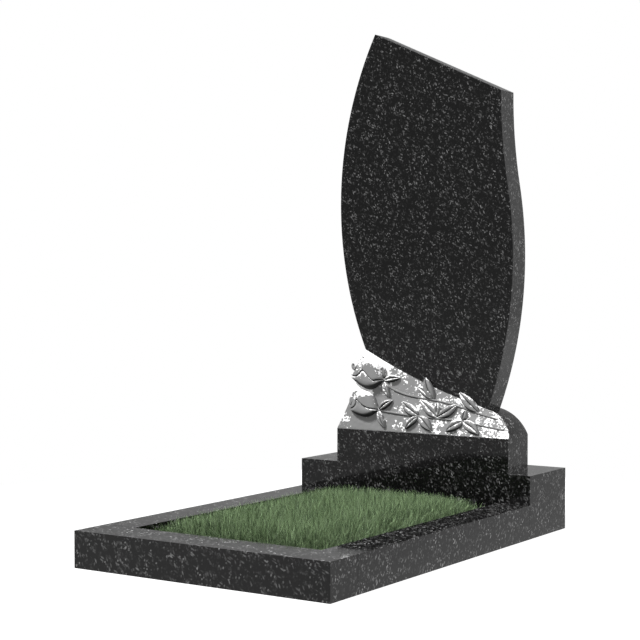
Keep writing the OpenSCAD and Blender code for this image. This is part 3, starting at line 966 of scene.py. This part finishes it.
def grass_patch(patch, sizes, material):
    """One patch of the lawn: copies of a three-sided blade, each turned, bent and tinted by itself."""
    rim = 3 * MM  # no blade grows this close to the stones
    inside = 2 * MM  # and none bends closer than this
    height_spread = (0.72, 1.18)  # shares of the blade height, which also grows over the mound
    low_height = 0.85
    mound_height = 0.25
    width_spread = (0.7, 1.2)
    belly = 0.35  # how much a blade widens on its way up, before it narrows to its tip
    usual_lean = (2.0, 0.19)  # shape and scale of a gamma spread: most blades lean a little, a few a lot
    most_lean = 1.2  # keeps a bent blade's tip over the ground
    bend_curve = 1.8
    droop = 0.25
    root_depth = 54 * MM
    mound_rise = 24 * MM
    tone_spread = (0.7, 0.95)  # of a beta spread: more blades are dull or fresh than between the two
    low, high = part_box("turf")
    kerb_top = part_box("kerb_front")[1].z
    count = sizes.count
    rng = np.random.default_rng(100 + patch)
    shape, faces = blade_shape()
    rise = shape[:, 2]
    local_x = shape[:, 0] * (1 + belly * rise)
    local_y = shape[:, 1]

    x = rng.uniform(low.x + rim, high.x - rim, count)
    ends = np.linspace(low.y + rim, high.y - rim, sizes.patches + 1)
    y = rng.uniform(ends[patch], ends[patch + 1], count)
    mound = swell(x, y)
    height = sizes.height * rng.uniform(*height_spread, count) * (low_height + mound_height * mound)
    width = sizes.width * rng.uniform(*width_spread, count)
    turn = rng.uniform(0, 2 * pi, count)
    lean_way = rng.uniform(0, 2 * pi, count)
    lean = np.minimum(rng.gamma(*usual_lean, count), most_lean)
    px = (np.cos(turn)[:, None] * local_x - np.sin(turn)[:, None] * local_y) * width[:, None]
    py = (np.sin(turn)[:, None] * local_x + np.cos(turn)[:, None] * local_y) * width[:, None]
    bend = (lean * height)[:, None] * rise ** bend_curve
    px += x[:, None] + np.cos(lean_way)[:, None] * bend
    py += y[:, None] + np.sin(lean_way)[:, None] * bend
    px = np.clip(px, low.x + inside, high.x - inside)
    py = np.clip(py, low.y + inside, high.y - inside)
    root = kerb_top - root_depth + mound_rise * mound
    pz = root[:, None] + height[:, None] * rise * (1 - droop * (lean[:, None] * rise) ** 2)
    points = np.stack([px, py, pz], axis=2).reshape(-1, 3)
    size = len(shape)
    every = [[corner + i * size for corner in face] for i in range(count) for face in faces]
    mesh = bpy.data.meshes.new(f"grass_{patch + 1}")
    mesh.from_pydata(points, [], every)
    tones = np.repeat(rng.beta(*tone_spread, count), size)
    for name, values in (("tone", tones), ("rise", np.tile(rise, count))):
        mesh.attributes.new(name, "FLOAT", "POINT").data.foreach_set("value", values.astype(np.float32))
    mesh.materials.append(material)
    grass = bpy.data.objects.new(mesh.name, mesh)
    bpy.context.scene.collection.objects.link(grass)
    return grass


class MEMORIAL_OT_stage(bpy.types.Operator):
    """Sets up the floor, the backdrop, the lights and the camera"""
    bl_idname = "memorial.stage"
    bl_label = "Studio"

    def execute(self, context):
        settings = context.scene.memorial_studio
        context.scene.view_settings.view_transform = "Standard"
        lay_floor(settings)
        light_studio(context.scene, settings)
        camera = bpy.data.cameras.new("camera")
        camera.sensor_width = 36.0
        camera.lens = settings.lens
        holder = bpy.data.objects.new("camera", camera)
        holder.location = settings.place
        holder.rotation_euler = Euler((pi / 2 - settings.pitch, 0.0, settings.azimuth))
        context.scene.collection.objects.link(holder)
        context.scene.camera = holder
        return {"FINISHED"}


def plain(name, tone, emission):
    """A plain matt studio paint that glows white."""
    material, tree, shader = new_material(name)
    shader.inputs["Base Color"].default_value = tuple(tone)
    shader.inputs["Roughness"].default_value = 0.9
    shader.inputs["Specular IOR Level"].default_value = 0.0
    shader.inputs["Emission Color"].default_value = linear("#ffffff")
    shader.inputs["Emission Strength"].default_value = emission
    return material


# The backdrop's size in metres.
WALL_RADIUS = 9.0
WALL_HEIGHT = 16.0


def lay_floor(settings):
    """A round lit floor and a white backdrop all round it. The polished stones reflect neither of them,
    only the world."""
    bm = bmesh.new()
    bmesh.ops.create_circle(bm, cap_ends=True, segments=96, radius=settings.floor_radius)
    floor = piece_from("floor", bm, plain("floor_paint", settings.floor, settings.floor_glow), smooth=None)
    floor.visible_diffuse = False
    floor.visible_glossy = False
    bm = bmesh.new()
    bmesh.ops.create_cone(
        bm, cap_ends=True, segments=96, radius1=WALL_RADIUS, radius2=WALL_RADIUS, depth=WALL_HEIGHT)
    wall = piece_from("backdrop", bm, plain("backdrop_paint", linear("#000000"), 1.0), smooth=None)
    for way in ("diffuse", "glossy", "transmission", "shadow"):
        setattr(wall, "visible_" + way, False)


# The world's brightness towards the horizon and towards the ground round the stones, each as a level and
# what a direction's X and Y add to it, and its brightness a little lower. The polished faces reflect it.
SKY_LEVEL = 0.675
SKY_TO_RIGHT = 0.49
SKY_TO_BACK = -0.05
GROUND_LEVEL = 0.83
GROUND_TO_RIGHT = -0.25
NEAR_GROUND = 1.0


def light_studio(scene, settings):
    """Soft light from all round, brighter to the right and dimmer overhead and underfoot, and one sun."""
    world = bpy.data.worlds.new("studio")
    world.use_nodes = True
    scene.world = world
    tree = world.node_tree
    way = add(tree, "ShaderNodeTexCoord").outputs["Generated"]
    part = add(tree, "ShaderNodeSeparateXYZ", {}, {0: way})
    right = add(tree, "ShaderNodeMath", {"operation": "MULTIPLY_ADD"}, {
        0: part.outputs["X"], 1: SKY_TO_RIGHT, 2: SKY_LEVEL})
    sky = add(tree, "ShaderNodeMath", {"operation": "MULTIPLY_ADD"}, {
        0: part.outputs["Y"], 1: SKY_TO_BACK, 2: right.outputs[0]})
    ground = add(tree, "ShaderNodeMath", {"operation": "MULTIPLY_ADD"}, {
        0: part.outputs["X"], 1: GROUND_TO_RIGHT, 2: GROUND_LEVEL})
    glow = ground.outputs[0]
    # Each step turns the brightness so far into another one, between two heights of a direction.
    for heights, other in (
            ((-0.14, -0.19), NEAR_GROUND),
            ((-0.16, 0.02), sky.outputs[0]),
            ((-0.25, -0.5), settings.underfoot),
            ((0.58, 0.8), settings.overhead)):
        ramp = add(tree, "ShaderNodeMapRange", {}, {"Value": part.outputs["Z"], **between(heights)})
        glow = add(tree, "ShaderNodeMix", {"data_type": "FLOAT"}, {
            0: ramp.outputs[0], 2: glow, 3: other}).outputs[0]
    tree.links.new(glow, tree.nodes["Background"].inputs["Color"])
    tree.nodes["Background"].inputs["Strength"].default_value = settings.sky_power
    key = bpy.data.lights.new("key", "SUN")
    key.energy = settings.key_power
    key.angle = radians(9)  # wide, so that its shadows have soft edges
    holder = bpy.data.objects.new("key", key)
    holder.rotation_euler = Vector(settings.key_way).to_track_quat("Z", "Y").to_euler()
    scene.collection.objects.link(holder)


class MEMORIAL_PT_panel(bpy.types.Panel):
    """Lists the memorial's operators in order"""
    bl_idname = "MEMORIAL_PT_panel"
    bl_label = "Memorial"
    bl_space_type = "VIEW_3D"
    bl_region_type = "UI"
    bl_category = "Memorial"

    def draw(self, context):
        for operator in OPERATORS:
            self.layout.operator(operator.bl_idname)


OPERATORS = (
    MEMORIAL_OT_stage,
    MEMORIAL_OT_base_stones,
    MEMORIAL_OT_headstone,
    MEMORIAL_OT_carving,
    MEMORIAL_OT_bed,
)
GROUPS = {
    "memorial_headstone": HeadstoneSizes,
    "memorial_carving": CarvingSizes,
    "memorial_stone": StoneColours,
    "memorial_grass": GrassSizes,
    "memorial_studio": StudioSettings,
}


def register():
    for made in (*GROUPS.values(), *OPERATORS, MEMORIAL_PT_panel):
        bpy.utils.register_class(made)
    for name, group in GROUPS.items():
        setattr(bpy.types.Scene, name, PointerProperty(type=group))


def unregister():
    for name in GROUPS:
        delattr(bpy.types.Scene, name)
    for made in reversed((*GROUPS.values(), *OPERATORS, MEMORIAL_PT_panel)):
        bpy.utils.unregister_class(made)


def main():
    register()
    bpy.ops.memorial.stage()
    bpy.ops.memorial.base_stones()
    bpy.ops.memorial.headstone()
    bpy.ops.memorial.carving()
    bpy.ops.memorial.bed()


if __name__ == "__main__":
    main()
